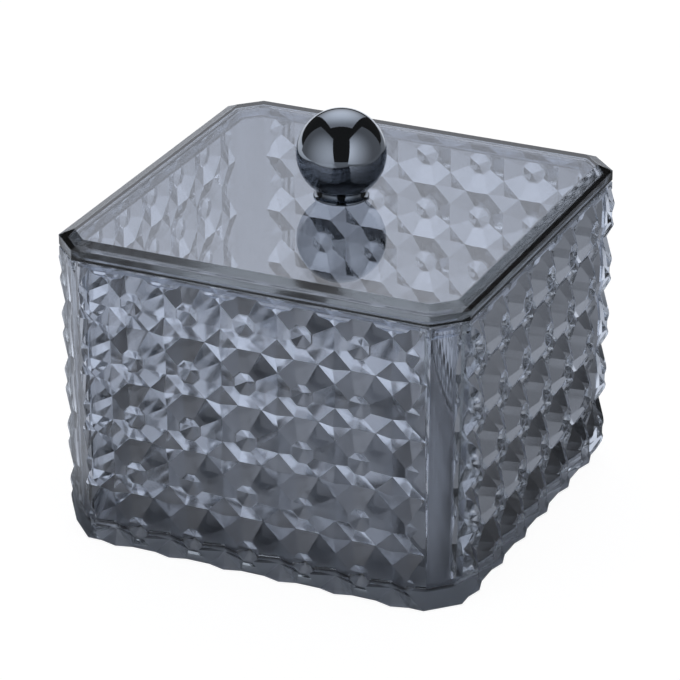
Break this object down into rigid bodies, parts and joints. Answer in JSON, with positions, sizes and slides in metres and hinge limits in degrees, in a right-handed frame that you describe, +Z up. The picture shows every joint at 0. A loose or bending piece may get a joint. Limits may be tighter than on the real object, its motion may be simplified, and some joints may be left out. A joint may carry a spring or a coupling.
{
  "type": "cotton pad box with lid",
  "caption": "Square see-through cotton pad box with diamond-cut walls, cut corners and a bevelled lid that lifts off by a black-chrome ball knob.",
  "frame": {"origin": "middle of the base, on the surface that the box stands on", "axes": "+Z up through the ball knob; +X and +Y square to the walls, which are all alike"},
  "size_m": [0.1036, 0.1036, 0.095],
  "materials": {
    "smoky_plastic": "transparent smoke-grey moulding, polished",
    "lid_plastic": "transparent smoke-grey moulding, polished",
    "black_chrome": "black chrome plate, mirror polished",
    "screw_steel": "plain steel, turned head"
  },
  "bodies": {
    "box": {"box": "smoky_plastic"},
    "lid": {"lid": "lid_plastic", "knob": "black_chrome", "knob_screw": "screw_steel"}
  },
  "joints": [
    {"name": "lid_lift", "type": "slide", "parent": "box", "child": "lid", "axis": [0, 0, 1], "range_m": [0, 0.06]}
  ]
}
